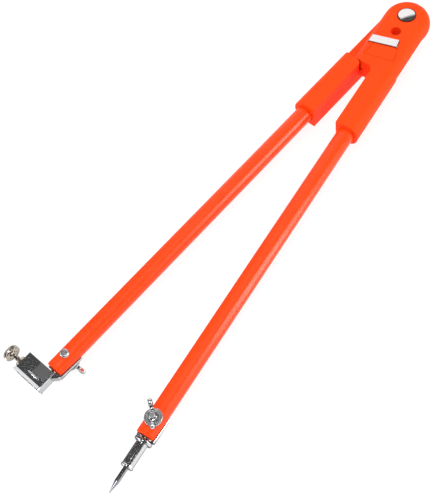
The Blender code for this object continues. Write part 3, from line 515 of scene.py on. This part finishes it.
def makeNeedle():
    size = needlePoint
    profile = [(onAxis, -size["held"]), (size["radius"], -size["held"]), (size["radius"], size["shoulder"]),
               (size["coneRadius"], size["open"])]
    for step in range(size["coneSteps"]):
        share = (step + 1) / size["coneSteps"]
        radius = size["coneRadius"] + (size["tipRadius"] - size["coneRadius"]) * share ** size["fullness"]
        profile.append((radius, size["open"] + size["cone"] * share))
    profile.append((onAxis, size["open"] + size["cone"]))
    turnedPiece("needle", profile, legPoint(1, size["start"], -ferrule["drop"]), downLeg(1), size["steps"])


makeNeedle()
print("ferrule and needle turned")

# half-round brackets of sheet behind the tubes, with fully rounded rims; all sizes in mm
trough = {
    "middle": 8.75, "half": 0.6, "start": 424.0, "end": 446.8, "rimRise": (-1.5, 1.5), "riseTo": 446.2,
    "leftDrop": 3.2, "lean": 0.9, "crown": 1.3, "arcSteps": 28, "rimSteps": 8, "stations": 10,
    "softEnd": 0.25, "softStep": 0.07, "softThin": 0.1,
}


def troughRing(along, thin):
    # one closed section of the shell: back side, right rim, tube's side, left rim
    size = trough
    share = (along - size["start"]) / (size["riseTo"] - size["start"])
    top = size["rimRise"][0] + (size["rimRise"][1] - size["rimRise"][0]) * share
    right = math.asin((top - size["crown"] * size["half"]) / size["middle"])
    left = math.asin((size["leftDrop"] + size["crown"] * size["half"]) / size["middle"]) - math.pi
    half = size["half"] - thin
    lean = size["lean"] * half / size["middle"]     # the press rolled each rim's outer side down
    points = []
    for turn, first, last in ((1, left + lean, right - lean), (-1, right + lean, left - lean)):
        radius = size["middle"] + turn * half
        for step in range(size["arcSteps"]):
            angle = first + (last - first) * step / size["arcSteps"]
            points.append((radius * math.cos(angle), -along, radius * math.sin(angle)))
        for step in range(size["rimSteps"]):
            bend = math.pi * step / size["rimSteps"]
            angle = last + lean * (1 - math.cos(bend))
            radius = size["middle"] + turn * half * math.cos(bend)
            point = Vector((math.cos(angle), 0, math.sin(angle))) * radius
            point += Vector((-math.sin(angle), 0, math.cos(angle))) * turn * half * math.sin(bend)
            points.append((point.x, -along, point.z))
    return points


def troughShell():
    size = trough
    full = size["start"] + size["softEnd"]
    rings = [troughRing(size["start"], size["softEnd"])]
    rings.append(troughRing(size["start"] + size["softStep"], size["softThin"]))
    for step in range(size["stations"] + 1):
        rings.append(troughRing(full + (size["end"] - full) * step / size["stations"], 0.0))
    return skinRings(rings, closed=False)


slabEdge = {"sharpFrom": 25, "segments": 3}


def addSlab(work, outline, low, high, lay, soft):
    # a flat piece of sheet with softened edges: raised from low to high on its outline, then laid in place
    slab = bmesh.new()
    base = [slab.verts.new((x * mm, y * mm, low * mm)) for x, y in outline]
    top = [slab.verts.new((x * mm, y * mm, high * mm)) for x, y in outline]
    slab.faces.new(list(reversed(base)))
    slab.faces.new(top)
    for step in range(len(outline)):
        after = (step + 1) % len(outline)
        slab.faces.new((base[step], base[after], top[after], top[step]))
    bmesh.ops.recalc_face_normals(slab, faces=slab.faces)
    corners = [edge for edge in slab.edges if edge.calc_face_angle() > math.radians(slabEdge["sharpFrom"])]
    bmesh.ops.bevel(slab, geom=corners, offset=soft * mm, segments=slabEdge["segments"], profile=0.5,
                    affect="EDGES", clamp_overlap=True)
    bmesh.ops.transform(slab, matrix=lay, verts=slab.verts)
    mesh = bpy.data.meshes.new("slab")
    slab.to_mesh(mesh)
    slab.free()
    work.from_mesh(mesh)
    bpy.data.meshes.remove(mesh)


def arcPoints(middle, radius, first, last, steps):
    angles = [first + (last - first) * step / steps for step in range(steps + 1)]
    return [(middle[0] + radius * math.cos(angle), middle[1] + radius * math.sin(angle)) for angle in angles]


endWall = {
    "reach": 8.75, "rise": 1.2, "drop": 3.5, "collarRadius": 7.4, "collarDrop": 3.0,
    "from": 446.25, "to": 447.35, "soft": 0.3, "steps": (30, 24),
}
shoulder = {
    "outline": [(2.9, -446.2), (8.15, -446.2), (8.15, -447.4), (6.95, -449.5), (4.1, -452.1), (2.9, -453.3)],
    "from": -4.8, "to": 1.2, "soft": 0.35,
}
strip = {
    "outline": [(-6.6, -460.8), (1.4, -460.8), (1.4, -446.5), (-6.6, -446.5)],
    "from": -9.2, "to": -8.3, "soft": 0.35,
}


def makeBrackets():
    wall, upright = endWall, Matrix.Rotation(math.pi / 2, 4, "X")
    left = math.asin(wall["drop"] / wall["reach"]) - math.pi
    level = math.asin((wall["collarDrop"] + wall["rise"]) / wall["collarRadius"])
    leftLevel = math.asin((wall["drop"] - wall["collarDrop"]) / wall["collarRadius"])
    outline = arcPoints((0, 0), wall["reach"], left, math.asin(wall["rise"] / wall["reach"]), wall["steps"][0])
    outline += arcPoints((0, -wall["collarDrop"]), wall["collarRadius"], level, math.pi + leftLevel,
                         wall["steps"][1])
    needle = troughShell()
    addSlab(needle, outline, wall["from"], wall["to"], upright, wall["soft"])
    pencil = troughShell()
    for sheet in (shoulder, strip):
        addSlab(pencil, sheet["outline"], sheet["from"], sheet["to"], Matrix.Identity(4), sheet["soft"])
    for node, side, work in (("needle_bracket", 1, needle), ("pencil_bracket", -1, pencil)):
        place = legFrame(side) @ Matrix.Translation((side * tubeOffset * mm, 0, 0))
        bmesh.ops.transform(work, matrix=place, verts=work.verts)
        placePiece(node, work, sharpAngle=40)


makeBrackets()

# push-in caps of the tubes, rounded over at the end
plugProfile = [(onAxis, 444.4), (4.75, 444.4), (4.75, 438.7), (5.9, 438.7), (5.95, 438.9), (5.95, 444.64),
               (7.8, 444.64), (7.85, 444.7), (7.85, 445.05), (7.79, 445.38), (7.6, 445.66), (7.3, 445.84),
               (6.9, 445.9), (onAxis, 445.9)]
for node, side in (("needle_leg_plug", 1), ("pencil_leg_plug", -1)):
    turnedPiece(node, plugProfile, legPoint(side, 0, 0), downLeg(side), steps=80)
print("brackets and plugs made")

# bush, screw and pad of the pencil clamp, all about the thumbscrew's axis
screwAxis = joints["thumbscrew_spin"]["axis"]
screwPlace = joints["thumbscrew_spin"]["pos_m"]
bushProfile = [(2.08, -1.0), (3.25, -1.0), (3.25, 0.15), (4.35, 0.15), (4.5, 0.3), (4.5, 2.2), (4.38, 2.5),
               (4.1, 2.66), (3.9, 2.7), (2.5, 2.7), (2.08, 2.4)]
padProfile = [(onAxis, -7.1), (2.9, -7.1), (3.2, -7.0), (3.36, -6.8), (3.4, -6.5), (3.4, -5.1), (3.2, -4.9),
              (1.6, -4.9), (1.4, -5.1), (1.4, -6.5), (onAxis, -6.54)]
turnedPiece("clamp_boss", bushProfile, screwPlace, screwAxis, closed=True)
turnedPiece("clamp_pad", padProfile, screwPlace, screwAxis)

thumbscrewLook = {
    "thread": {"pitch": 0.7, "crest": 1.98, "root": 1.58, "rowsPerTurn": 8}, "threadSteps": 66,
    "pin": [(onAxis, -5.9), (1.3, -5.9), (1.3, -4.62)], "threadStart": -4.6, "threadEnd": 9.4, "underNeck": 0.5,
    "neck": [(2.0, 9.75), (2.9, 9.92), (3.45, 10.2), (3.6, 10.6), (3.65, 11.0), (3.95, 11.25), (4.3, 11.4)],
    "knobRadius": 7.0, "knobStart": 11.3, "knobEnd": 15.5, "chamfer": 0.55, "chamferShares": (0.45, 0.8),
    "faceIn": 0.3, "faceRise": 0.06, "bandIn": 0.1, "ridges": 44, "stepsPerRidge": 6, "ridgeDepth": 0.34,
    "dish": [(6.1, 0.0), (5.5, 0.0), (5.2, -0.12), (4.9, -0.35), (onAxis, -0.3)],     # from the knob's end
}


def makeThumbscrew():
    look, steps = thumbscrewLook, thumbscrewLook["threadSteps"]
    rings = [ringOf(radius, height, steps) for radius, height in look["pin"]]
    # the thread is cut from the pad's end to the neck, and stays full at the neck
    thread = threadRings(look["thread"], look["threadStart"], look["threadEnd"] + look["underNeck"], steps)
    rings += [ring for ring in thread if ring[0][2] <= look["threadEnd"]]
    rings += [ringOf(radius, height, steps) for radius, height in look["neck"]]
    work = skinRings(rings, closed=False)
    start, end, radius, chamfer = look["knobStart"], look["knobEnd"], look["knobRadius"], look["chamfer"]
    steps = look["stepsPerRidge"] * look["ridges"]

    def knurled(share, height):
        # the ridges grow out of the chamfer, share 1 is the full band
        return ringOf(radius - chamfer * (1 - share), height, steps, look["ridgeDepth"] * share, look["ridges"])

    rings = [ringOf(onAxis, start, steps), ringOf(radius - chamfer - look["faceIn"], start, steps)]
    rings.append(ringOf(radius - chamfer, start + look["faceRise"], steps))
    rings += [knurled(share, start + chamfer * share) for share in look["chamferShares"]]
    inset = chamfer + look["bandIn"]
    rings += [knurled(1.0, height) for height in (start + inset, (start + end) / 2, end - inset)]
    rings += [knurled(share, end - chamfer * share) for share in reversed(look["chamferShares"])]
    rings.append(ringOf(radius - chamfer, end - look["faceRise"], steps))
    rings += [ringOf(reach, end + rise, steps) for reach, rise in look["dish"]]
    skinRings(rings, closed=False, work=work)
    placePiece("thumbscrew", stand(work, screwPlace, screwAxis), sharpAngle=50)


makeThumbscrew()
print("clamp screw made")

# flat faces shade flat, right up to the rounded edges beside them
for piece in pieces:
    even = piece.modifiers.new("evenShading", "WEIGHTED_NORMAL")
    even.keep_sharp = True


studio = {
    "floorSize": 6.0, "floorLevel": -0.2 * mm,
    "curtainRadius": 2.9, "curtainFrom": -0.01, "curtainTo": 3.0, "curtainSteps": 72,
    "paleColor": "#6E6E6D", "paleGlow": 0.86, "floorRoughness": 0.8, "curtainRoughness": 0.9,
    # dark room; its bright parts are given by the direction in which they lie, as (start, full)
    "dark": 0.08, "bright": 1.12,
    "rightWall": (0.80, 0.93),
    "leftWall": (-0.52, -0.66),     # with a dark gap straight beside the tool
    "gapBack": (0.30, 0.42), "gapFront": (-0.12, -0.22),
    "ceilingSlant": (-0.70, 0.51, 0.0), "ceiling": (0.42, 0.49),    # over the far left corner
    "tableTop": (0.0, -0.1), "tableLeft": (-0.60, -0.42),           # the table as polished metal sees it
}


def makePaleSheet(name, roughness):
    # matt white, lit from behind, so shadows stay faint
    material = bpy.data.materials.new(name)
    material.use_nodes = True
    shader = material.node_tree.nodes["Principled BSDF"]
    shader.inputs["Base Color"].default_value = toLinear(studio["paleColor"])
    shader.inputs["Roughness"].default_value = roughness
    shader.inputs["Emission Color"].default_value = (1, 1, 1, 1)
    shader.inputs["Emission Strength"].default_value = studio["paleGlow"]
    return material


def makeFloor():
    bpy.ops.mesh.primitive_plane_add(size=studio["floorSize"], location=(0, 0, studio["floorLevel"]))
    floor = bpy.context.object
    floor.name = "studioFloor"
    floor.data.materials.append(makePaleSheet("opalLightTable", studio["floorRoughness"]))     # milky acrylic
    floor.visible_glossy = False    # the room gives its own table to reflections, dark on the left


def makeCurtain():
    # pale curtain round the table, the background of low views; it neither lights nor mirrors
    ring = bmesh.new()
    rim = ringOf(studio["curtainRadius"], 0.0, studio["curtainSteps"])
    low, high = ([ring.verts.new((x, y, level)) for x, y, z in rim]
                 for level in (studio["curtainFrom"], studio["curtainTo"]))
    for step in range(len(rim)):
        after = (step + 1) % len(rim)
        ring.faces.new((low[step], low[after], high[after], high[step]))
    mesh = bpy.data.meshes.new("studioCurtain")
    ring.to_mesh(mesh)
    ring.free()
    mesh.materials.append(makePaleSheet("paleCurtain", studio["curtainRoughness"]))            # woven cloth
    curtain = bpy.data.objects.new("studioCurtain", mesh)
    bpy.context.scene.collection.objects.link(curtain)
    curtain.visible_glossy = curtain.visible_diffuse = curtain.visible_shadow = False


def makeSky():
    # a dark room with white panels, so that chrome has black and white in it
    world = bpy.data.worlds.new("studioRoom")
    bpy.context.scene.world = world
    world.use_nodes = True
    tree = world.node_tree
    way = addNode(tree, "ShaderNodeTexCoord").outputs["Generated"]
    axes = addNode(tree, "ShaderNodeSeparateXYZ", {"Vector": way}).outputs

    def either(first, second):
        return addNode(tree, "ShaderNodeMath", {0: first, 1: second}, operation="MAXIMUM").outputs[0]

    def both(first, second):
        return addNode(tree, "ShaderNodeMath", {0: first, 1: second}, operation="MINIMUM").outputs[0]

    behind = ramp(tree, axes["Y"], studio["gapBack"])
    ahead = ramp(tree, axes["Y"], studio["gapFront"])
    left = both(ramp(tree, axes["X"], studio["leftWall"]), either(behind, ahead))
    right = ramp(tree, axes["X"], studio["rightWall"])
    slant = addNode(tree, "ShaderNodeVectorMath", {0: way, 1: studio["ceilingSlant"]}, operation="DOT_PRODUCT")
    corner = both(ramp(tree, slant.outputs["Value"], studio["ceiling"]), behind)
    table = both(ramp(tree, axes["Z"], studio["tableTop"]), ramp(tree, axes["X"], studio["tableLeft"]))
    lit = either(either(left, corner), either(right, table))
    background = tree.nodes["Background"]
    level = ramp(tree, lit, (0.0, 1.0), (studio["dark"], studio["bright"]))
    tree.links.new(level, background.inputs["Strength"])
    background.inputs["Color"].default_value = (1, 1, 1, 1)


softboxes = {
    # right of the tool and low: it draws the long streak down each tube, strongest by the head
    "keySoftbox": {
        "way": (0.88, 0.40, 0.22), "distance": 1.5, "size": (1.75, 0.34),
        "power": 20, "gloss": True, "tint": "#FFF6EC",
    },
    # straight above, flagged off from reflections, so that every surface gets even light
    "topSoftbox": {
        "way": (0.0, 0.1, 1.0), "distance": 1.4, "size": (1.8, 1.4),
        "power": 13, "gloss": False, "tint": "#FFFFFF",
    },
    # a small bright one over the camera, the spark on rounded metal
    "sparkSoftbox": {
        "way": (0.12, -0.34, 0.93), "distance": 1.4, "size": (0.4, 0.3),
        "power": 4.6, "gloss": True, "tint": "#FFFFFF",
    },
    # in front and low: the bright line on rounded ends and on the bolt's head
    "lineSoftbox": {
        "way": (-0.42, -0.88, 0.10), "distance": 1.5, "size": (0.6, 0.3),
        "power": 6, "gloss": True, "tint": "#FFFFFF",
    },
    # left and front, only to lift the shadows
    "leftFill": {
        "way": (-0.8, 0.0, 0.45), "distance": 1.6, "size": (1.2, 0.8),
        "power": 3.5, "gloss": False, "tint": "#FFFFFF",
    },
    "frontFill": {
        "way": (0.1, -0.9, 0.35), "distance": 1.6, "size": (1.2, 0.8),
        "power": 6, "gloss": False, "tint": "#FFFFFF",
    },
}
lightsAim = (0, -0.24, 0)       # from the pivot, about the middle of the legs


def makeSoftboxes():
    aim = pivot + Vector(lightsAim)
    for name, box in softboxes.items():
        data = bpy.data.lights.new(name, "AREA")
        data.shape = "RECTANGLE"
        data.size, data.size_y = box["size"]
        data.energy = box["power"]
        data.color = toLinear(box["tint"])[:3]
        light = bpy.data.objects.new(name, data)
        light.visible_glossy = box["gloss"]
        way = Vector(box["way"]).normalized()
        light.location = aim + way * box["distance"]
        # the long side lies level, along the legs
        light.rotation_euler = (-way).to_track_quat("-Z", "X").to_euler()
        bpy.context.scene.collection.objects.link(light)


makeFloor()
makeCurtain()
makeSky()
makeSoftboxes()
print("studio lit")

# camera, as fitted to the photograph
cameraSetup = {
    "fromPivot": (0.27626, -0.52471, 0.65363), "looks": (-0.37447, 0.31972, -0.87037),
    "up": (-0.48213, 0.73467, 0.47730), "lens": 66.084, "clipStart": 0.01,
}


def makeCamera():
    data = bpy.data.cameras.new("photoCamera")
    data.lens = cameraSetup["lens"]
    data.clip_start = cameraSetup["clipStart"]
    camera = bpy.data.objects.new("photoCamera", data)
    ahead = Vector(cameraSetup["looks"]).normalized()
    right = ahead.cross(Vector(cameraSetup["up"])).normalized()
    camera.matrix_world = Matrix((right, right.cross(ahead), -ahead)).transposed().to_4x4()
    camera.location = pivot + Vector(cameraSetup["fromPivot"])
    bpy.context.scene.collection.objects.link(camera)
    bpy.context.scene.camera = camera


makeCamera()
bpy.context.scene.view_settings.view_transform = "Standard"
print("camera set")
